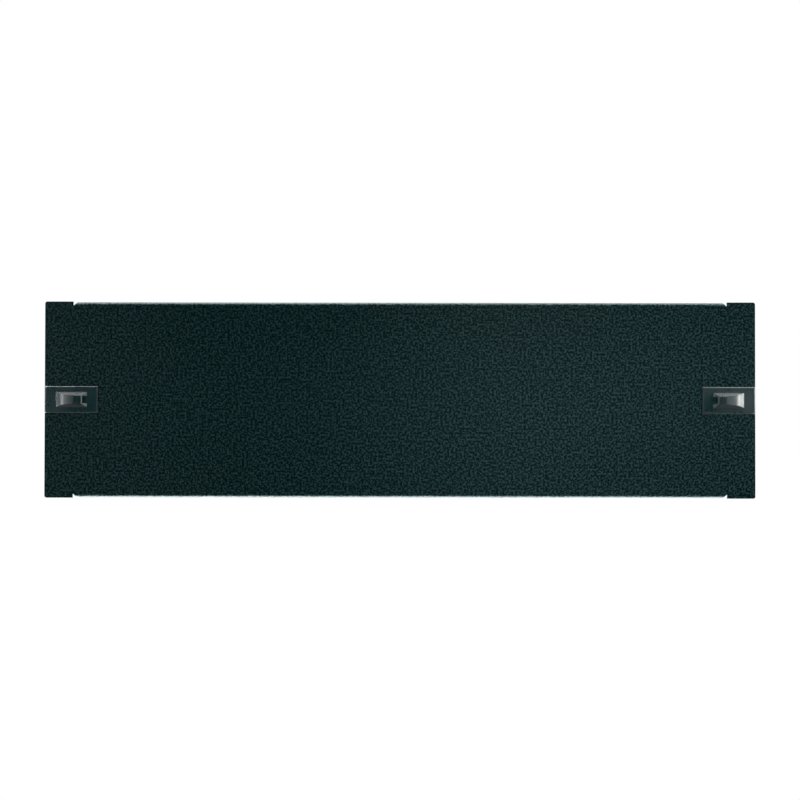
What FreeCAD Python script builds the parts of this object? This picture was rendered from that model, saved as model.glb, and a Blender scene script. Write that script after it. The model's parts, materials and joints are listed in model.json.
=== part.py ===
import FreeCAD, Part
import math
import os
import Sketcher

# A 3U rack blanking panel: one folded steel sheet with two moulded slide latches.
# X runs along the panel, Z is up and the front faces -Y. The origin is the middle of
# the flat rear face that seats on the rack's rails. Sizes are in millimetres.

SIZES = {
    # folded panel
    "panel_width": 482.6,
    "panel_height": 133.3,
    "sheet": 1.5,
    "corner_radius": 1.5,
    "ear_width": 19.2,
    "flange_depth": 12.7,
    "flange_inset": 0.35,
    "bend_radius": 2.4,
    "relief_width": 2.7,
    "relief_depth": 0.1,
    "flange_end_taper": 2.0,
    # rail that the panel mounts on
    "hole_centre": 8.75,
    "hole_size": 9.5,
    "rail_grip": 2.5,
    # windows and their bent tabs
    "window_start": 4.1,
    "window_height": 9.0,
    "tab_place": 30.0,
    "tab_height": 7.8,
    "tab_reach": 6.5,
    "tab_notch": 0.6,
    # latch plate
    "plate_length": 35.9,
    "plate_height": 18.2,
    "plate_thickness": 1.3,
    "plate_edge": 0.9,
    "slide_gap": 0.1,
    # latch hood
    "hood_height": 3.2,
    "hood_base": 10.2,
    "side_slope": 0.73,
    "hood_tip": 25.0,
    "mouth_slant": 3.7,
    "crown_radius": 75.7,
    "crown_angle": 8.8,
    "shoulder_radius": 12.6,
    "toe_radius": 0.6,
    "hood_wall": 0.8,
    "hollow_width": 5.0,
    # raised grip on the hood and its grooves
    "grip_start": 19.9,
    "grip_rise": 0.15,
    "groove_pitch": 1.65,
    "groove_width": 0.6,
    "groove_depth": 0.3,
    "groove_foot": 0.8,
    "groove_inset": 0.75,
    # hook behind the rail
    "hook_gap": 0.4,
    "hook_thickness": 4.5,
    "hook_height": 8.6,
    "barb_depth": 2.5,
    "barb_nose": 0.4,
    "hook_reach": 8.0,
    "hook_flat": 2.4,
    # snap legs and spring seat behind the panel
    "leg_place": 19.0,
    "leg_width": 5.0,
    "leg_thickness": 1.3,
    "leg_gap": 0.2,
    "lip_height": 1.2,
    "lip_thickness": 0.5,
    "leg_reach": 3.6,
    "seat_thickness": 1.6,
    "seat_height": 4.8,
    "spring_depth": 3.4,
    "peg_diameter": 2.4,
    "peg_length": 2.4,
    # coil springs
    "spring_diameter": 4.4,
    "wire": 0.5,
    "spring_turns": 6.0,
    "spring_gap": 0.02,
}
GROOVE_COUNT = 3
WIRE_FLATS = 8

document = FreeCAD.newDocument("rack_blanking_panel")
sizes = document.addObject("Spreadsheet::Sheet", "Sizes")
for row, (name, size) in enumerate(SIZES.items(), start=1):
    sizes.set(f"A{row}", name)
    sizes.set(f"B{row}", str(size))
    sizes.setAlias(f"B{row}", name)
document.recompute()


def use(text):
    """Turn bare size names into references to the sheet."""
    words = []
    word = ""
    for letter in text + " ":
        if letter.isalnum() or letter == "_":
            word += letter
            continue
        words.append(f"Sizes.{word}" if word in SIZES else word)
        words.append(letter)
        word = ""
    return "".join(words).strip()


def number(text):
    """Work out an expression of sizes as a plain number."""
    return float(sizes.evalExpression(use(text)))


def originPlane(body, role):
    return [item for item in body.Origin.OriginFeatures if item.Role == role][0]


def sketchOn(body, name, role, offset=None):
    """Sketch on an origin plane, moved along the plane's normal by an expression."""
    sketch = body.newObject("Sketcher::SketchObject", name)
    sketch.AttachmentSupport = [(originPlane(body, role), "")]
    sketch.MapMode = "FlatFace"
    if offset is not None:
        sketch.setExpression("AttachmentOffset.Base.z", use(offset))
    return sketch


def arcBetween(start, end, radius, leftHand):
    """Arc from start to end whose centre lies left or right of the chord."""
    middle = (start + end) * 0.5
    chord = end - start
    rise = math.sqrt(max(radius ** 2 - (chord.Length / 2) ** 2, 0.0))
    across = FreeCAD.Vector(-chord.y, chord.x, 0).normalize()
    centre = middle + across * (rise if leftHand else -rise)
    circle = Part.Circle(centre, FreeCAD.Vector(0, 0, 1), radius)
    first = math.atan2(start.y - centre.y, start.x - centre.x)
    last = math.atan2(end.y - centre.y, end.x - centre.x)
    if leftHand:
        return Part.ArcOfCircle(circle, first, last)
    return Part.ArcOfCircle(circle, last, first)


def outline(sketch, corners, arcs=None):
    """Closed outline through corners, each an (x, y) pair of expressions.

    arcs maps the index of a corner to the (radius, leftHand) of the arc that leaves it.
    """
    arcs = arcs or {}
    points = [FreeCAD.Vector(number(x), number(y), 0) for x, y in corners]
    pieces = []
    for index, start in enumerate(points):
        end = points[(index + 1) % len(points)]
        if index in arcs:
            radius, leftHand = arcs[index]
            curve = arcBetween(start, end, number(radius), leftHand)
            first, last = (1, 2) if leftHand else (2, 1)
        else:
            curve = Part.LineSegment(start, end)
            first, last = 1, 2
        pieces.append((sketch.addGeometry(curve, False), first, last))
    for index, (piece, first, last) in enumerate(pieces):
        following = pieces[(index + 1) % len(pieces)]
        sketch.addConstraint(Sketcher.Constraint("Coincident", piece, last, following[0], following[1]))
    for (piece, first, last), corner, point in zip(pieces, corners, points):
        for axis, text, place in (("X", corner[0], point.x), ("Y", corner[1], point.y)):
            bound = sketch.addConstraint(Sketcher.Constraint(f"Distance{axis}", -1, 1, piece, first, place))
            sketch.setExpression(f"Constraints[{bound}]", use(text))
    for index, (radius, leftHand) in arcs.items():
        bound = sketch.addConstraint(Sketcher.Constraint("Radius", pieces[index][0], number(radius)))
        sketch.setExpression(f"Constraints[{bound}]", use(radius))


def rectangle(sketch, left, right, bottom, top):
    outline(sketch, [(left, bottom), (right, bottom), (right, top), (left, top)])


def circleAt(sketch, x, y, radius):
    """Circle with its centre and radius bound to expressions."""
    centre = FreeCAD.Vector(number(x), number(y), 0)
    piece = sketch.addGeometry(Part.Circle(centre, FreeCAD.Vector(0, 0, 1), number(radius)), False)
    place = (-1, 1, piece, 3)
    bounds = (("DistanceX", place, x), ("DistanceY", place, y), ("Radius", (piece,), radius))
    for kind, ends, text in bounds:
        bound = sketch.addConstraint(Sketcher.Constraint(kind, *ends, number(text)))
        sketch.setExpression(f"Constraints[{bound}]", use(text))


def pad(body, name, sketch, length, midplane=False, reverse=False):
    feature = body.newObject("PartDesign::Pad", name)
    feature.Profile = sketch
    feature.Midplane = midplane
    feature.Reversed = reverse
    feature.setExpression("Length", use(length))
    document.recompute()
    return feature


def pocketThrough(body, name, sketch):
    """Cut right through the body on both sides of the sketch."""
    before = body.Shape.Volume
    feature = body.newObject("PartDesign::Pocket", name)
    feature.Profile = sketch
    feature.Type = "ThroughAll"
    feature.Midplane = True
    document.recompute()
    if body.Shape.Volume >= before:
        raise RuntimeError(f"{name} cuts nothing")
    return feature


def newBody(label):
    body = document.addObject("PartDesign::Body", label)
    body.Label = label
    return body


# Folded panel
def frontPanel():
    """A channel with flat ears, and near each end a window whose blank is a bent tab."""
    body = newBody("front_panel")
    flange = "(panel_height / 2 - flange_inset)"
    straight = f"({flange} - bend_radius)"
    inside = f"({flange} - sheet)"
    bend = "(bend_radius - sheet)"
    edge = "(flange_depth - sheet)"

    section = sketchOn(body, "channel_section", "YZ_Plane")
    corners = [
        ("-sheet", f"-{straight}"), ("-sheet", straight),
        (bend, flange), (edge, flange), (edge, inside), (bend, inside),
        ("0", straight), ("0", f"-{straight}"),
        (bend, f"-{inside}"), (edge, f"-{inside}"), (edge, f"-{flange}"), (bend, f"-{flange}"),
    ]
    arcs = {1: ("bend_radius", False), 5: (bend, True), 7: (bend, True), 11: ("bend_radius", False)}
    outline(section, corners, arcs)
    pad(body, "channel", section, "panel_width - 2 * ear_width", midplane=True)

    end = "(-panel_width / 2)"
    root = f"({end} + ear_width)"
    top = "(panel_height / 2)"
    earSketch = sketchOn(body, "ear_outline", "XZ_Plane")
    corners = [
        (f"{end} + corner_radius", f"-{top}"), (root, f"-{top}"),
        (root, top), (f"{end} + corner_radius", top),
        (end, f"{top} - corner_radius"), (end, f"corner_radius - {top}"),
    ]
    outline(earSketch, corners, {3: ("corner_radius", True), 5: ("corner_radius", True)})
    ear = pad(body, "ear", earSketch, "sheet")

    reliefSketch = sketchOn(body, "relief_notches", "XZ_Plane")
    notchEnd = f"({root} + relief_width)"
    notchFoot = f"({straight} - relief_depth)"
    for side in ("", "-"):
        outline(reliefSketch, [
            (root, f"{side}{notchFoot}"), (notchEnd, f"{side}{flange}"),
            (notchEnd, f"{side}({top} + sheet)"), (root, f"{side}({top} + sheet)"),
        ])
    relief = pocketThrough(body, "relief", reliefSketch)

    taperSketch = sketchOn(body, "flange_taper", "XY_Plane")
    beyond = f"({edge} + sheet)"
    outline(taperSketch, [
        (root, bend), (notchEnd, bend), (f"{notchEnd} + flange_end_taper", beyond), (root, beyond),
    ])
    taper = pocketThrough(body, "taper", taperSketch)

    fold = "(tab_place + bend_radius)"
    windowSketch = sketchOn(body, "window_outline", "XZ_Plane")
    rectangle(windowSketch, f"{end} + window_start", f"{end} + {fold} + tab_notch",
              "-window_height / 2", "window_height / 2")
    window = pocketThrough(body, "window", windowSketch)

    tabSketch = sketchOn(body, "tab_section", "XY_Plane")
    corners = [
        (f"{end} + tab_place", "tab_reach"), (f"{end} + tab_place", bend), (f"{end} + {fold}", "-sheet"),
        (f"{end} + {fold} + 2 * tab_notch", "-sheet"), (f"{end} + {fold} + 2 * tab_notch", "0"),
        (f"{end} + {fold}", "0"), (f"{end} + tab_place + sheet", bend),
        (f"{end} + tab_place + sheet", "tab_reach"),
    ]
    outline(tabSketch, corners, {1: ("bend_radius", True), 5: (bend, False)})
    tab = pad(body, "tab", tabSketch, "tab_height", midplane=True)

    mirror = body.newObject("PartDesign::Mirrored", "right_end")
    mirror.Originals = [ear, relief, taper, window, tab]
    mirror.MirrorPlane = (originPlane(body, "YZ_Plane"), [""])
    body.Tip = mirror
    document.recompute()
    return body


# Latches: the plate lies just in front of the panel's front face
FRONT = "(-sheet - slide_gap - plate_thickness)"
BACK = "(-sheet - slide_gap)"


def hoodProfile():
    """Side outline of the hood: a concave toe, a round shoulder, a long crown and a slanted mouth.

    The crown's circle is centred under the tip, the shoulder's circle touches it from
    within at crown_angle, and the toe's circle touches the shoulder's and the plate.
    """
    shoulderX = "(hood_tip - (crown_radius - shoulder_radius) * sin(crown_angle * 1deg))"
    shoulderRise = ("(hood_height - crown_radius"
                    " + (crown_radius - shoulder_radius) * cos(crown_angle * 1deg))")
    reach = "(shoulder_radius + toe_radius)"
    apart = f"sqrt({reach} ^ 2 - (toe_radius - {shoulderRise}) ^ 2)"
    toeX = f"({shoulderX} - {apart})"
    share = f"(toe_radius / {reach})"
    meetX = f"{toeX} + {apart} * {share}"
    meetRise = f"(toe_radius + ({shoulderRise} - toe_radius) * {share})"
    crownX = "hood_tip - crown_radius * sin(crown_angle * 1deg)"
    crownRise = "(hood_height - crown_radius * (1 - cos(crown_angle * 1deg)))"
    mouth = "hood_tip + mouth_slant"
    corners = [
        (toeX, FRONT), (meetX, f"{FRONT} - {meetRise}"), (crownX, f"{FRONT} - {crownRise}"),
        ("hood_tip", f"{FRONT} - hood_height"), (mouth, FRONT),
        (mouth, f"{FRONT} + plate_thickness / 2"), (toeX, f"{FRONT} + plate_thickness / 2"),
    ]
    arcs = {0: ("toe_radius", False), 1: ("shoulder_radius", True), 2: ("crown_radius", True)}
    return corners, arcs


def slopeSides(body, name):
    """Cut both sides of the hood to lean in as they rise from the plate."""
    sketch = sketchOn(body, f"{name}_section", "YZ_Plane")
    high = f"({FRONT} - hood_height - sheet)"
    halfTop = "(hood_base / 2 - side_slope * (hood_height + sheet))"
    for side in ("", "-"):
        outline(sketch, [
            (FRONT, f"{side}(hood_base / 2)"), (high, f"{side}{halfTop}"),
            (high, f"{side}(hood_base)"), (FRONT, f"{side}(hood_base)"),
        ])
    return pocketThrough(body, name, sketch)


def hoodHollow():
    """The space under the hood, open at the mouth."""
    body = newBody("hood_hollow")
    centreRise = "(hood_height - crown_radius)"
    inner = "(crown_radius - hood_wall)"
    shoulderX = "(hood_tip - (crown_radius - shoulder_radius) * sin(crown_angle * 1deg))"
    shoulderRise = f"({centreRise} + (crown_radius - shoulder_radius) * cos(crown_angle * 1deg))"
    small = "(shoulder_radius - hood_wall)"
    footX = f"({shoulderX} - sqrt({small} ^ 2 - {shoulderRise} ^ 2))"
    joinX = f"hood_tip - {inner} * sin(crown_angle * 1deg)"
    joinRise = f"({centreRise} + {inner} * cos(crown_angle * 1deg))"
    past = "hood_tip + 2 * mouth_slant"
    sketch = sketchOn(body, "hollow_profile", "XY_Plane")
    corners = [
        (footX, FRONT), (joinX, f"{FRONT} - {joinRise}"), ("hood_tip", f"{FRONT} - hood_height + hood_wall"),
        (past, f"{FRONT} - hood_height + hood_wall"), (past, FRONT),
    ]
    outline(sketch, corners, {0: (small, True), 1: (inner, True)})
    pad(body, "hollow", sketch, "hollow_width", midplane=True)
    return body


def edgesWhere(shape, test):
    return [f"Edge{index}" for index, edge in enumerate(shape.Edges, start=1) if test(edge)]


def latchBody():
    """Plate, hood, hook, snap legs and spring seat, as they leave the mould."""
    body = newBody("latch_solid")
    plateSketch = sketchOn(body, "plate_outline", "XZ_Plane", "sheet + slide_gap")
    rectangle(plateSketch, "0", "plate_length", "-plate_height / 2", "plate_height / 2")
    plate = pad(body, "plate", plateSketch, "plate_thickness")
    front = number(FRONT)
    rim = edgesWhere(plate.Shape, lambda edge: all(abs(v.Y - front) < 1e-6 for v in edge.Vertexes))
    rounding = body.newObject("PartDesign::Fillet", "plate_rim")
    rounding.Base = (plate, rim)
    rounding.setExpression("Radius", use("plate_edge"))
    document.recompute()

    hoodSketch = sketchOn(body, "hood_profile", "XY_Plane")
    outline(hoodSketch, *hoodProfile())
    pad(body, "hood", hoodSketch, "hood_base", midplane=True)
    gripSketch = sketchOn(body, "grip_profile", "XY_Plane")
    rectangle(gripSketch, "grip_start", "hood_tip", f"{FRONT} - hood_height - grip_rise",
              f"{FRONT} - hood_height / 2")
    pad(body, "grip", gripSketch, "hood_base", midplane=True)
    slopeSides(body, "hood_sides")

    grooveSketch = sketchOn(body, "groove_section", "YZ_Plane", "hood_tip - groove_inset")
    deep = "(groove_depth * sqrt(1 + side_slope ^ 2))"
    low = f"({FRONT} - groove_foot)"
    lowHalf = f"(hood_base / 2 - side_slope * groove_foot - {deep})"
    high = f"({FRONT} - hood_height + groove_depth)"
    highHalf = f"(hood_base / 2 - side_slope * (hood_height - groove_depth) - {deep})"
    clear = f"({FRONT} - hood_height - sheet)"
    outline(grooveSketch, [
        (low, lowHalf), (high, highHalf), (high, f"-{highHalf}"), (low, f"-{lowHalf}"),
        (low, "-hood_base"), (clear, "-hood_base"), (clear, "hood_base"), (low, "hood_base"),
    ])
    groove = body.newObject("PartDesign::Pocket", "groove")
    groove.Profile = grooveSketch
    groove.Midplane = True
    groove.setExpression("Length", use("groove_width"))
    document.recompute()
    grooves = body.newObject("PartDesign::LinearPattern", "grooves")
    grooves.Originals = [groove]
    grooves.Direction = (originPlane(body, "X_Axis"), [""])
    grooves.Reversed = True
    grooves.Occurrences = GROOVE_COUNT
    grooves.setExpression("Length", use(f"groove_pitch * {GROOVE_COUNT - 1}"))
    body.Tip = grooves
    document.recompute()

    hookSketch = sketchOn(body, "hook_profile", "XY_Plane")
    outer = "(hole_centre - hole_size / 2 + hook_gap)"
    corners = [
        (outer, BACK), (outer, "rail_grip"), (f"{outer} - barb_depth", "rail_grip"),
        (f"{outer} - barb_depth", "rail_grip + barb_nose"),
        (f"{outer} + hook_thickness - hook_flat", "hook_reach"), (f"{outer} + hook_thickness", "hook_reach"),
        (f"{outer} + hook_thickness", BACK),
        (f"{outer} + hook_thickness", f"{BACK} - plate_thickness / 2"),
        (outer, f"{BACK} - plate_thickness / 2"),
    ]
    outline(hookSketch, corners)
    pad(body, "hook", hookSketch, "hook_height", midplane=True)

    legSketch = sketchOn(body, "leg_section", "YZ_Plane", "leg_place")
    out = "(window_height / 2 - leg_gap)"
    lip = f"({out} + leg_gap + lip_height)"
    for side in ("", "-"):
        outline(legSketch, [
            (f"{BACK} - plate_thickness / 2", f"{side}({out} - leg_thickness)"),
            (f"{BACK} - plate_thickness / 2", f"{side}{out}"),
            ("slide_gap", f"{side}{out}"), ("slide_gap", f"{side}{lip}"),
            ("slide_gap + lip_thickness", f"{side}{lip}"), ("leg_reach", f"{side}{out}"),
            ("leg_reach", f"{side}({out} - leg_thickness)"),
        ])
    pad(body, "snap_legs", legSketch, "leg_width")

    seatSketch = sketchOn(body, "seat_section", "YZ_Plane", "leg_place")
    rectangle(seatSketch, f"{BACK} - plate_thickness / 2", "spring_depth + spring_diameter / 2",
              "-seat_height / 2", "seat_height / 2")
    pad(body, "spring_seat", seatSketch, "seat_thickness")
    pegSketch = sketchOn(body, "peg_section", "YZ_Plane", "leg_place + seat_thickness")
    circleAt(pegSketch, "spring_depth", "0", "peg_diameter / 2")
    pad(body, "spring_peg", pegSketch, "peg_length")
    return body


def latches():
    left = document.addObject("Part::Cut", "left_latch")
    left.Base = latchBody()
    left.Tool = hoodHollow()
    left.Label = "left_latch"
    left.setExpression("Placement.Base.x", use("-panel_width / 2"))
    document.recompute()
    right = document.addObject("Part::Mirroring", "right_latch")
    right.Source = left
    right.Normal = FreeCAD.Vector(1, 0, 0)
    right.Label = "right_latch"
    document.recompute()
    return [left, right]


# Springs
def spring(label, start):
    """Coil spring along X from start, its wire just clear of the seat and the tab.

    The wire's round section is drawn with flats that touch its circle.
    """
    body = newBody(label)
    length = "(tab_place - leg_place - seat_thickness)"
    sketch = sketchOn(body, f"{label}_wire", "XY_Plane")
    corners = []
    for flat in range(WIRE_FLATS):
        turn = 360 / WIRE_FLATS * (flat + 0.5)
        corner = f"wire / 2 / cos({180 / WIRE_FLATS} deg)"
        along = f"wire / 2 + spring_gap + {corner} * cos({turn} deg)"
        across = f"(spring_diameter - wire) / 2 + {corner} * sin({turn} deg)"
        corners.append((along, across))
    outline(sketch, corners)
    coil = body.newObject("PartDesign::AdditiveHelix", f"{label}_coil")
    coil.Profile = sketch
    coil.ReferenceAxis = (sketch, ["H_Axis"])
    coil.Mode = 2
    coil.setExpression("Height", use(f"{length} - wire - 2 * spring_gap"))
    coil.setExpression("Turns", use("spring_turns"))
    body.setExpression("Placement.Base.x", use(start))
    body.setExpression("Placement.Base.y", use("spring_depth"))
    document.recompute()
    return body


parts = [frontPanel()]
parts += latches()
parts.append(spring("left_spring", "-panel_width / 2 + leg_place + seat_thickness"))
parts.append(spring("right_spring", "panel_width / 2 - tab_place"))

document.recompute()
for item in document.Objects:
    if "Invalid" in item.State or "Error" in item.State:
        raise RuntimeError(f"{item.Name} failed: {item.State}")
os.makedirs("parts", exist_ok=True)
for item in parts:
    shape = item.Shape
    if shape.isNull() or not shape.isValid() or len(shape.Solids) != 1:
        raise RuntimeError(f"{item.Label} is not one valid solid")
    print(item.Label, round(shape.Volume, 2), shape.BoundBox)
for item in parts:
    item.Shape.exportStep(f"parts/{item.Label}.step")
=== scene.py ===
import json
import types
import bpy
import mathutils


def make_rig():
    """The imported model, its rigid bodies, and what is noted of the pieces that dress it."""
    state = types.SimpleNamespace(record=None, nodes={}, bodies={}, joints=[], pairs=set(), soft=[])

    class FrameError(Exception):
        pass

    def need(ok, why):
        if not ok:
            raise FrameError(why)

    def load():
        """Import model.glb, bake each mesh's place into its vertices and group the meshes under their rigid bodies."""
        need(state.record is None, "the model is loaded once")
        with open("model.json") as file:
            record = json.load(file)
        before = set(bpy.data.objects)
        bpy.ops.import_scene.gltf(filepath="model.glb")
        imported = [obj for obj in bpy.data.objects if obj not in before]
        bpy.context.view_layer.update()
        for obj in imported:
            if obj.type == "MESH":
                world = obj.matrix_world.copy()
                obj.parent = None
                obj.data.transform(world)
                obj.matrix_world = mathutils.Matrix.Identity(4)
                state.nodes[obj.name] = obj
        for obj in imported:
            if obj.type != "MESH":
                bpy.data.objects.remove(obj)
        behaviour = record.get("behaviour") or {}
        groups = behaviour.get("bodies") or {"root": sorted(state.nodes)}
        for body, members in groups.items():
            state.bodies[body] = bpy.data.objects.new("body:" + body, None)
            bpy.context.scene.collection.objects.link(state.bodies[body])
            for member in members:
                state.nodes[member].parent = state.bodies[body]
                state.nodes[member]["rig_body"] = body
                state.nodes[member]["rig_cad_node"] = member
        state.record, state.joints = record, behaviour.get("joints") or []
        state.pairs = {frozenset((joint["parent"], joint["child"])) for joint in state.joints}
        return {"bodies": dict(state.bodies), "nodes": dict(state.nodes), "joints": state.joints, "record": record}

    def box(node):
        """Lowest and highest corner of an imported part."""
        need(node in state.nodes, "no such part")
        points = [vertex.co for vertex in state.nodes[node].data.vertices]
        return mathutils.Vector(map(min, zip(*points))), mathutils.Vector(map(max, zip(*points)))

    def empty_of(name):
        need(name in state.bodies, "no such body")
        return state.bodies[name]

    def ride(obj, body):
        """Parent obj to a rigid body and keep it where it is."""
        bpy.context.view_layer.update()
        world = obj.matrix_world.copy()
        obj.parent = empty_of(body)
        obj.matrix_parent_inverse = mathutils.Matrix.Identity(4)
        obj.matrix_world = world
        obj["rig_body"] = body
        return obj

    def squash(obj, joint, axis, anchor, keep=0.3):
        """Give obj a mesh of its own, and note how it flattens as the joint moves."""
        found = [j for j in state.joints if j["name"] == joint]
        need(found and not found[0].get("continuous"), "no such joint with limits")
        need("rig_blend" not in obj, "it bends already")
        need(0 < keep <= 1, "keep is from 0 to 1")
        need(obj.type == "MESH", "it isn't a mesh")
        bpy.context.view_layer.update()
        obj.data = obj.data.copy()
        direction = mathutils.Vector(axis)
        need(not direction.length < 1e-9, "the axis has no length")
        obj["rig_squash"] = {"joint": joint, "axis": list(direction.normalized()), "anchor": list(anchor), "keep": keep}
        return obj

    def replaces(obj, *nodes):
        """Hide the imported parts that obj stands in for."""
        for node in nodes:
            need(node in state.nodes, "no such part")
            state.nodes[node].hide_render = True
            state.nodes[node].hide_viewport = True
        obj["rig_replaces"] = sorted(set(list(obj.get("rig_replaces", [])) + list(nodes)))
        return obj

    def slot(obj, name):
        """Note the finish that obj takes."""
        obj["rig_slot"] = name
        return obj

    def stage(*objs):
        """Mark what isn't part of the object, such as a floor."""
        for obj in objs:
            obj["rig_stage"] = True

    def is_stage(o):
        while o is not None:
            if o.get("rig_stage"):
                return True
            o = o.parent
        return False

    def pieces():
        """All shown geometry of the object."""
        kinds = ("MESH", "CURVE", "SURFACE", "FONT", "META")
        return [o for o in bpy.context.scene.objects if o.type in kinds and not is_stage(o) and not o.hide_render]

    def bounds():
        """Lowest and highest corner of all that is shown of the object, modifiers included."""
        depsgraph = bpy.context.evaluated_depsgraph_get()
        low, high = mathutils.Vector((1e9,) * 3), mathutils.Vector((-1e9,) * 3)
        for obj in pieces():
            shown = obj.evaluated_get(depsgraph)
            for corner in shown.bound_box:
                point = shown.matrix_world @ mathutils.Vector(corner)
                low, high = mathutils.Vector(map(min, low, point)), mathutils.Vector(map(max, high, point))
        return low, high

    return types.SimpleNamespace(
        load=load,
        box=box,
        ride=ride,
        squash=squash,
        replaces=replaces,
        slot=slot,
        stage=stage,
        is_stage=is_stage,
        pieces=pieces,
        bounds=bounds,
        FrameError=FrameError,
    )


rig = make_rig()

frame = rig.load()

import json
import math

import bpy
import numpy as np
from mathutils import Matrix, Vector

# A steel rack blanking panel with two black moulded slide latches.
# Everything is in metres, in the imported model's own frame.
cadLow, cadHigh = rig.bounds()
scene = bpy.context.scene
print("frame loaded", [round(v, 4) for v in cadHigh - cadLow])


# small helpers
def addNode(tree, kind, **values):
    # a value is a node property or an input socket, with _ for each space in the socket's name
    node = tree.nodes.new(kind)
    for name, value in values.items():
        if hasattr(node, name):
            setattr(node, name, value)
        else:
            node.inputs[name.replace("_", " ")].default_value = value
    return node


def newMaterial(name):
    # an empty material with one Principled surface joined to its output
    material = bpy.data.materials.new(name)
    material.use_nodes = True
    tree = material.node_tree
    tree.nodes.clear()
    output = addNode(tree, "ShaderNodeOutputMaterial")
    surface = addNode(tree, "ShaderNodeBsdfPrincipled")
    tree.links.new(surface.outputs["BSDF"], output.inputs["Surface"])
    return material, tree, surface


def dress(piece, material):
    # the piece has this material and no other
    piece.data.materials.clear()
    piece.data.materials.append(material)


def stretch(tree, value, fromLow, fromHigh, toLow, toHigh):
    # straight-line map of a value from one range to another, clamped at both ends
    node = addNode(tree, "ShaderNodeMapRange", From_Min=fromLow, From_Max=fromHigh,
                   To_Min=toLow, To_Max=toHigh)
    tree.links.new(value, node.inputs["Value"])
    return node.outputs["Result"]


def mixColours(tree, share, first, second):
    # colour = first + share x (second - first)
    # a Mix node lists its sockets for every data type, so the colour ones are found by type
    node = addNode(tree, "ShaderNodeMix", data_type="RGBA")
    ends = [socket for socket in node.inputs if socket.type == "RGBA"]
    ends[0].default_value = (*first, 1)
    ends[1].default_value = (*second, 1)
    tree.links.new(share, node.inputs[0])
    return next(socket for socket in node.outputs if socket.type == "RGBA")


# surface grain, shared by the coat, the plastic and the wire
surfaceGrain = {
    "fine": {"Detail": 1.5, "Roughness": 0.6},
    "coarse": {"Detail": 2.0, "Roughness": 0.5},
}


def makeGrainGroup():
    # Speck is the fine noise and Cloud the coarse one, both 0..1 and centred on a half
    # Height, which a bump reads, = Speck + Coarse Share x Cloud
    group = bpy.data.node_groups.new("surfaceGrain", "ShaderNodeTree")
    for name in ("Fine Scale", "Coarse Scale", "Coarse Share"):
        group.interface.new_socket(name=name, in_out="INPUT", socket_type="NodeSocketFloat")
    for name in ("Speck", "Height", "Cloud"):
        group.interface.new_socket(name=name, in_out="OUTPUT", socket_type="NodeSocketFloat")
    start = addNode(group, "NodeGroupInput")
    end = addNode(group, "NodeGroupOutput")
    place = addNode(group, "ShaderNodeTexCoord")
    fine = addNode(group, "ShaderNodeTexNoise", **surfaceGrain["fine"])
    coarse = addNode(group, "ShaderNodeTexNoise", **surfaceGrain["coarse"])
    part = addNode(group, "ShaderNodeMath", operation="MULTIPLY")
    both = addNode(group, "ShaderNodeMath", operation="ADD")
    link = group.links.new
    link(place.outputs["Object"], fine.inputs["Vector"])
    link(place.outputs["Object"], coarse.inputs["Vector"])
    link(start.outputs["Fine Scale"], fine.inputs["Scale"])
    link(start.outputs["Coarse Scale"], coarse.inputs["Scale"])
    link(coarse.outputs["Fac"], part.inputs[0])
    link(start.outputs["Coarse Share"], part.inputs[1])
    link(fine.outputs["Fac"], both.inputs[0])
    link(part.outputs[0], both.inputs[1])
    link(fine.outputs["Fac"], end.inputs["Speck"])
    link(both.outputs[0], end.inputs["Height"])
    link(coarse.outputs["Fac"], end.inputs["Cloud"])
    return group


grainGroup = makeGrainGroup()


def makeFinish(name, v):
    # one mask, 0..1, is stretched out of the grain and drives two things together:
    # colour = low + mask x (high - low), and roughness likewise
    material, tree, surface = newMaterial(name)
    link = tree.links.new
    grain = addNode(tree, "ShaderNodeGroup", node_tree=grainGroup, Fine_Scale=v["fineScale"],
                    Coarse_Scale=v["coarseScale"], Coarse_Share=v["coarseShare"])
    mask = stretch(tree, grain.outputs[v["mask"]], v["maskLow"], v["maskHigh"], 0, 1)
    link(mixColours(tree, mask, v["low"], v["high"]), surface.inputs["Base Color"])
    link(stretch(tree, mask, 0, 1, v["roughLow"], v["roughHigh"]), surface.inputs["Roughness"])
    surface.inputs["Specular IOR Level"].default_value = v["specular"]
    surface.inputs["Metallic"].default_value = v["metallic"]
    bump = addNode(tree, "ShaderNodeBump", Strength=v["bump"], Distance=v["bumpDepth"])
    link(grain.outputs["Height"], bump.inputs["Height"])
    link(bump.outputs["Normal"], surface.inputs["Normal"])
    return material


# powder coat: the crests of its texture are duller than the pits between them; the crests' paler colour is a painted
# glint and the pits' darker colour is painted shade in the hollows of the grain
powderCoat = {
    "mask": "Speck", "maskLow": 0.44, "maskHigh": 0.6,
    # low is the pits' painted shade and high the crests' painted glint: light on the grain painted into the colour
    "low": (0.0, 0.0065, 0.007), "high": (0.0345, 0.063, 0.066),
    "fineScale": 690, "coarseScale": 260, "coarseShare": 0.3,
    "roughLow": 0.36, "roughHigh": 0.46, "specular": 0.14, "metallic": 0,
    "bump": 1.0, "bumpDepth": 0.0002,
}
coatMaterial = makeFinish("powderCoat", powderCoat)

# latch plastic: nearly even, with a soft sheen
latchPlastic = {
    "mask": "Cloud", "maskLow": 0.3, "maskHigh": 0.7,
    "low": (0.004, 0.0065, 0.0073), "high": (0.0058, 0.0085, 0.0095),
    "fineScale": 2600, "coarseScale": 90, "coarseShare": 0.5,
    "roughLow": 0.26, "roughHigh": 0.32, "specular": 1.0, "metallic": 0,
    "bump": 0.05, "bumpDepth": 0.00003,
}
plasticMaterial = makeFinish("latchPlastic", latchPlastic)

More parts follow.
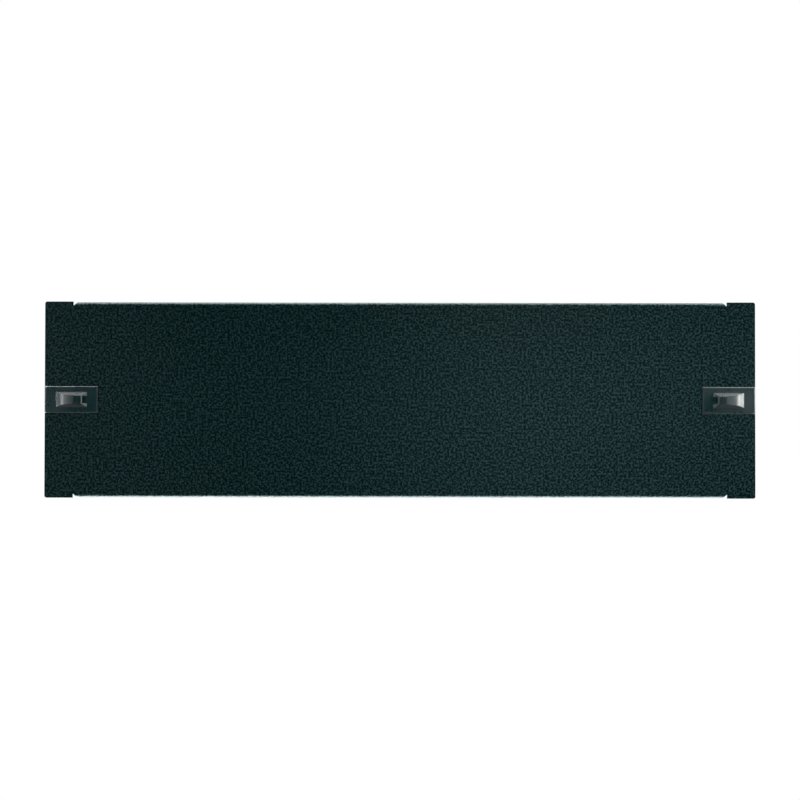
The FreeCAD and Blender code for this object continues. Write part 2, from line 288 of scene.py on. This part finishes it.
# spring wire: drawn steel, a little stained
springWire = {
    "mask": "Cloud", "maskLow": 0.3, "maskHigh": 0.7,
    "low": (0.34, 0.33, 0.31), "high": (0.56, 0.55, 0.53),
    "fineScale": 5000, "coarseScale": 700, "coarseShare": 0.5,
    "roughLow": 0.2, "roughHigh": 0.38, "specular": 0.5, "metallic": 1,
    "bump": 0.1, "bumpDepth": 0.00001,
}
wireMaterial = makeFinish("springWire", springWire)
print("materials made")

# CAD nodes softened at their edges: widths in metres, angles in degrees
# edges that turn by more than angle are rounded, and those past smooth are shaded as sharp
panelEdge = {"width": 0.00022, "segments": 2, "angle": 40, "smooth": 35}
latchEdge = {"width": 0.0002, "segments": 3, "angle": 24, "smooth": 30}
wholeFace = {"mergeWithin": 1e-6, "flatWithin": 0.5}  # points merged, triangles joined


def readArray(items, name, width, kind):
    # one attribute of all items as an array, with a row for each item
    values = np.empty(len(items) * width, dtype=kind)
    items.foreach_get(name, values)
    return values.reshape(-1, width) if width > 1 else values


def outerEdges(mesh, angle):
    # an edge is an outer one where its two faces turn away from each other by more than the
    # angle: the cross product of their normals then points along the edge as the first face
    # runs it. The result is 1 on such an edge and 0 on any other.
    points = readArray(mesh.vertices, "co", 3, np.float32)
    normals = readArray(mesh.polygons, "normal", 3, np.float32)
    total = readArray(mesh.polygons, "loop_total", 1, np.int32)
    start = readArray(mesh.polygons, "loop_start", 1, np.int32)
    corner = readArray(mesh.loops, "vertex_index", 1, np.int32)
    edge = readArray(mesh.loops, "edge_index", 1, np.int32)
    face = np.repeat(np.arange(len(total)), total)
    following = np.arange(len(corner)) + 1
    following[start + total - 1] = start
    along = points[corner[following]] - points[corner]
    order = np.argsort(edge, kind="stable")
    first = np.searchsorted(edge[order], np.arange(len(mesh.edges)))
    shared = np.bincount(edge, minlength=len(mesh.edges)) == 2
    one = order[first[shared]]
    two = order[first[shared] + 1]
    turn = np.einsum("ij,ij->i", normals[face[one]], normals[face[two]])
    side = np.einsum("ij,ij->i", np.cross(normals[face[one]], normals[face[two]]), along[one])
    weight = np.zeros(len(mesh.edges), dtype=np.float32)
    weight[shared] = (turn < math.cos(math.radians(angle))) & (side > 0)
    return weight


def softenNode(nodeName, name, v, body, slotName, material):
    # the node's own surface, its triangles merged into whole faces and its outer edges rounded
    mesh = frame["nodes"][nodeName].data.copy()
    mesh.name = name
    piece = bpy.data.objects.new(name, mesh)
    scene.collection.objects.link(piece)
    bpy.ops.object.select_all(action="DESELECT")
    bpy.context.view_layer.objects.active = piece
    piece.select_set(True)
    bpy.ops.object.mode_set(mode="EDIT")
    bpy.ops.mesh.select_all(action="SELECT")
    bpy.ops.mesh.remove_doubles(threshold=wholeFace["mergeWithin"])
    bpy.ops.mesh.dissolve_limited(angle_limit=math.radians(wholeFace["flatWithin"]))
    bpy.ops.mesh.customdata_custom_splitnormals_clear()
    bpy.ops.object.mode_set(mode="OBJECT")
    piece.select_set(False)
    weights = mesh.attributes.new("bevel_weight_edge", "FLOAT", "EDGE")
    weights.data.foreach_set("value", outerEdges(mesh, v["angle"]))
    mesh.shade_smooth()
    mesh.set_sharp_from_angle(angle=math.radians(v["smooth"]))
    bevel = piece.modifiers.new("edge", "BEVEL")
    bevel.width = v["width"]
    bevel.segments = v["segments"]
    bevel.limit_method = "WEIGHT"
    bevel.use_clamp_overlap = True
    bevel.harden_normals = True
    dress(piece, material)
    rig.ride(piece, body)
    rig.replaces(piece, nodeName)
    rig.slot(piece, slotName)
    return piece


softenNode("front_panel", "panelSheet", panelEdge, "panel", "powder_coat", coatMaterial)
leftLatch = softenNode("left_latch", "leftLatch", latchEdge, "left_slider", "latch_plastic",
                       plasticMaterial)
rightLatch = softenNode("right_latch", "rightLatch", latchEdge, "right_slider", "latch_plastic",
                        plasticMaterial)
print("panel and latches made")

# coil springs: closed is the turns lying together at each end, closedPitch is in wire thicknesses
coil = {
    "wire": 0.0005, "turns": 6.0, "closed": 0.8, "closedPitch": 1.02,
    "alongPerTurn": 48, "around": 14,
}


def tubeGrid(path, radius, around):
    # a round tube: point = path + radius x (cos angle x first + sin angle x second), where
    # first is square to the path and the coil's axis, and second is square to the path and first
    tangent = np.gradient(path, axis=0)
    tangent /= np.linalg.norm(tangent, axis=1)[:, None]
    axis = np.array([1.0, 0.0, 0.0])
    first = np.cross(tangent, axis)
    first /= np.linalg.norm(first, axis=1)[:, None]
    second = np.cross(tangent, first)
    angle = np.linspace(0, 2 * np.pi, around, endpoint=False)
    ring = (np.cos(angle)[None, :, None] * first[:, None, :]
            + np.sin(angle)[None, :, None] * second[:, None, :])
    return path[:, None, :] + radius * ring


def tubeMesh(name, grid):
    # quads between neighbouring rings, and one flat face on each end
    rings, around, _ = grid.shape
    index = np.arange(rings * around).reshape(rings, around)
    here, there = index[:-1], index[1:]
    quads = np.stack([here, np.roll(here, -1, 1), np.roll(there, -1, 1), there], axis=-1)
    faces = quads.reshape(-1, 4).tolist() + [index[0][::-1].tolist(), index[-1].tolist()]
    mesh = bpy.data.meshes.new(name)
    mesh.from_pydata(grid.reshape(-1, 3).tolist(), [], faces)
    mesh.validate()
    return mesh


def makeSpring(nodeName, name, joint, fixedEnd):
    # helix of radius r: x = start + along(turn), y = r x cos(2 pi turn), z = r x sin(2 pi turn),
    # where along climbs by closedPitch wires a turn in the closed ends and evenly between them
    v = coil
    low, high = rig.box(nodeName)
    middle = (low + high) / 2
    radius = (high.y - low.y) / 2 - v["wire"] / 2
    start, end = low.x + v["wire"] / 2, high.x - v["wire"] / 2
    turn = np.linspace(0, v["turns"], int(v["turns"] * v["alongPerTurn"]) + 1)
    climb = v["closed"] * v["closedPitch"] * v["wire"]
    along = np.interp(turn, [0, v["closed"], v["turns"] - v["closed"], v["turns"]],
                      [0, climb, end - start - climb, end - start])
    angle = 2 * np.pi * turn
    path = np.stack([start + along, middle.y + radius * np.cos(angle),
                     middle.z + radius * np.sin(angle)], axis=1)
    mesh = tubeMesh(name, tubeGrid(path, v["wire"] / 2, v["around"]))
    piece = bpy.data.objects.new(name, mesh)
    scene.collection.objects.link(piece)
    mesh.shade_smooth()
    dress(piece, wireMaterial)
    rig.ride(piece, "panel")
    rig.replaces(piece, nodeName)
    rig.slot(piece, "spring_wire")
    travel = next(j["range_m"][1] for j in frame["joints"] if j["name"] == joint)
    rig.squash(piece, joint, axis=(1, 0, 0), anchor=(fixedEnd(low, high), middle.y, middle.z),
              keep=1 - travel / (high.x - low.x))


# each spring's fixed end is the one on the panel's tab, nearest the middle of the panel
makeSpring("left_spring", "leftSpring", "left_latch_slide", lambda low, high: high.x)
makeSpring("right_spring", "rightSpring", "right_latch_slide", lambda low, high: low.x)
print("springs made")

# stage, light and camera
stage = {
    "drop": 0.335, "radius": 0.42, "sides": 96,
    "colour": (0.22, 0.22, 0.22), "roughness": 0.9,
}


def makeFloor():
    # a plain disc well under the panel, seen only from above: x = r x cos angle, y = r x sin angle
    v = stage
    angle = np.linspace(0, 2 * np.pi, v["sides"], endpoint=False)
    rim = np.stack([v["radius"] * np.cos(angle), v["radius"] * np.sin(angle),
                    np.full(v["sides"], cadLow.z - v["drop"])], axis=1)
    mesh = bpy.data.meshes.new("floor")
    mesh.from_pydata(rim.tolist(), [], [list(range(v["sides"]))])
    floor = bpy.data.objects.new("floor", mesh)
    scene.collection.objects.link(floor)
    material, tree, surface = newMaterial("floorPaint")
    surface.inputs["Base Color"].default_value = (*v["colour"], 1)
    surface.inputs["Roughness"].default_value = v["roughness"]
    back = addNode(tree, "ShaderNodeNewGeometry")
    clear = addNode(tree, "ShaderNodeBsdfTransparent")
    mix = addNode(tree, "ShaderNodeMixShader")
    output = next(n for n in tree.nodes if n.type == "OUTPUT_MATERIAL")
    tree.links.new(back.outputs["Backfacing"], mix.inputs[0])
    tree.links.new(surface.outputs["BSDF"], mix.inputs[1])
    tree.links.new(clear.outputs["BSDF"], mix.inputs[2])
    tree.links.new(mix.outputs["Shader"], output.inputs["Surface"])
    dress(floor, material)
    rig.stage(floor)


# ends and starts are places along a ray's direction: -1 is the camera's side or the floor
room = {
    "front": (0.0, 0.16, 0.172), "back": (1.6, 1.6, 1.6), "frontEnd": -0.1, "backStart": 0.35,
    "floorShare": 0.55, "floorStart": -1, "floorEnd": 0.6, "backdrop": (1, 1, 1),
}


def makeWorld():
    # the camera sees a plain backdrop; other rays meet a room that is dim and cool in front of
    # the panel, white behind it, and a little darker towards the floor:
    # light = (front + smooth step of y x (back - front)) x (floorShare, rising to 1 with z)
    v = room
    world = bpy.data.worlds.new("studio")
    scene.world = world
    world.use_nodes = True
    tree = world.node_tree
    tree.nodes.clear()
    link = tree.links.new
    output = addNode(tree, "ShaderNodeOutputWorld")
    seen = addNode(tree, "ShaderNodeBackground", Color=(*v["backdrop"], 1))
    around = addNode(tree, "ShaderNodeBackground")
    way = addNode(tree, "ShaderNodeTexCoord")
    axes = addNode(tree, "ShaderNodeSeparateXYZ")
    depth = addNode(tree, "ShaderNodeMapRange", interpolation_type="SMOOTHSTEP",
                    From_Min=v["frontEnd"], From_Max=v["backStart"])
    rays = addNode(tree, "ShaderNodeLightPath")
    mix = addNode(tree, "ShaderNodeMixShader")
    link(way.outputs["Generated"], axes.inputs[0])
    link(axes.outputs["Y"], depth.inputs["Value"])
    rise = stretch(tree, axes.outputs["Z"], v["floorStart"], v["floorEnd"], v["floorShare"], 1)
    link(mixColours(tree, depth.outputs[0], v["front"], v["back"]), around.inputs["Color"])
    link(rise, around.inputs["Strength"])
    link(rays.outputs["Is Camera Ray"], mix.inputs[0])
    link(around.outputs[0], mix.inputs[1])
    link(seen.outputs[0], mix.inputs[2])
    link(mix.outputs[0], output.inputs["Surface"])


# spread is in degrees, and a box without one shines over the whole half circle
softboxes = {
    "topRear": {"place": (0.0, 0.105, 1.195), "aim": (0, 0, 0), "size": (1.4, 0.3), "glow": 44},
    "topFront": {"place": (0.0, -0.208, 1.182), "aim": (0, 0, 0), "size": (1.4, 0.3),
                 "glow": 2.2},
    "lowRear": {"place": (0.0, 0.101, -0.377), "aim": (0, 0, 0), "size": (1.2, 0.14),
                "glow": 48},
    "lowFront": {"place": (0.0, -0.101, -0.377), "aim": (0, 0, 0), "size": (1.2, 0.14),
                 "glow": 1.0},
    "leftWide": {"place": (-0.919, -0.771, 0.2), "aim": (0, 0, 0), "size": (0.26, 0.7),
                 "glow": 1.5},
    "midBox": {"place": (0.16, -1.2, 0.3), "aim": (0.07, 0, 0), "size": (0.12, 0.3),
               "glow": 14, "spread": 14},
    "leftBox": {"place": (-0.54, -0.44, 0.07), "aim": (-0.225, 0, 0), "size": (0.16, 0.18),
                "glow": 8.5, "spread": 40},
    "rightBox": {"place": (0.6, -0.37, 0.08), "aim": (0.225, 0, 0), "size": (0.34, 0.17),
                 "glow": 50, "spread": 22},
    "leftGraze": {"place": (-0.541, -0.073, 0.128), "aim": (-0.2235, 0, 0),
                  "size": (0.12, 0.09), "glow": 70, "spread": 120, "only": leftLatch},
    "rightGraze": {"place": (0.541, -0.073, 0.128), "aim": (0.2235, 0, 0),
                   "size": (0.12, 0.09), "glow": 265, "spread": 120, "only": rightLatch},
    "leftInner": {"place": (0.121, -0.061, 0.018), "aim": (-0.2235, 0, 0),
                  "size": (0.11, 0.11), "glow": 5, "spread": 30},
    "rightInner": {"place": (-0.121, -0.061, 0.018), "aim": (0.2235, 0, 0),
                   "size": (0.11, 0.11), "glow": 2.5, "spread": 30},
}


def makeSoftbox(name, v):
    # glow is the brightness seen from straight in front of the box, whatever its size and
    # spread: energy = glow x area x pi x (1 - half / tan half), where half is half the spread
    light = bpy.data.lights.new(name, "AREA")
    light.shape = "RECTANGLE"
    light.size, light.size_y = v["size"]
    half = math.radians(v.get("spread", 180)) / 2
    light.spread = 2 * half
    light.energy = v["glow"] * light.size * light.size_y * math.pi * (1 - half / math.tan(half))
    box = bpy.data.objects.new(name, light)
    box.location = v["place"]
    box.rotation_euler = (Vector(v["aim"]) - Vector(v["place"])).to_track_quat("-Z", "Y").to_euler()
    box.visible_camera = False
    if "only" in v:
        # the box lights one latch and leaves the panel behind it alone
        lit = bpy.data.collections.new(name + "Lit")
        lit.objects.link(v["only"])
        box.light_linking.receiver_collection = lit
    scene.collection.objects.link(box)


# field is the width seen at the panel's face, sensor is in millimetres, angles are in degrees
camera = {
    "distance": 1.55, "field": 0.5434, "sensor": 36, "below": 1.3, "roll": 0.09,
    "near": 0.05, "far": 50,
}


def makeCamera():
    # looks at the middle of the panel's face from very slightly below:
    # lens = sensor x distance / field
    v = camera
    data = bpy.data.cameras.new("camera")
    data.sensor_width = v["sensor"]
    data.lens = v["sensor"] * v["distance"] / v["field"]
    data.clip_start, data.clip_end = v["near"], v["far"]
    holder = bpy.data.objects.new("camera", data)
    faceY = frame["nodes"]["front_panel"].bound_box[0][1]
    centre = Vector((0, faceY, 0))
    tilt = math.radians(v["below"])
    holder.location = centre + v["distance"] * Vector((0, -math.cos(tilt), -math.sin(tilt)))
    look = (centre - holder.location).to_track_quat("-Z", "Y").to_matrix()
    roll = Matrix.Rotation(math.radians(v["roll"]), 3, "Z")
    holder.rotation_euler = (look @ roll).to_euler()
    scene.collection.objects.link(holder)
    scene.camera = holder


makeFloor()
makeWorld()
for boxName, boxValues in softboxes.items():
    makeSoftbox(boxName, boxValues)
makeCamera()
scene.view_settings.view_transform = "Standard"
scene.view_settings.look = "None"
print("stage, light and camera made")

lookLow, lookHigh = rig.bounds()
with open("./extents.json", "w") as sizeFile:
    json.dump({"cad": [list(cadLow), list(cadHigh)], "look": [list(lookLow), list(lookHigh)]}, sizeFile)
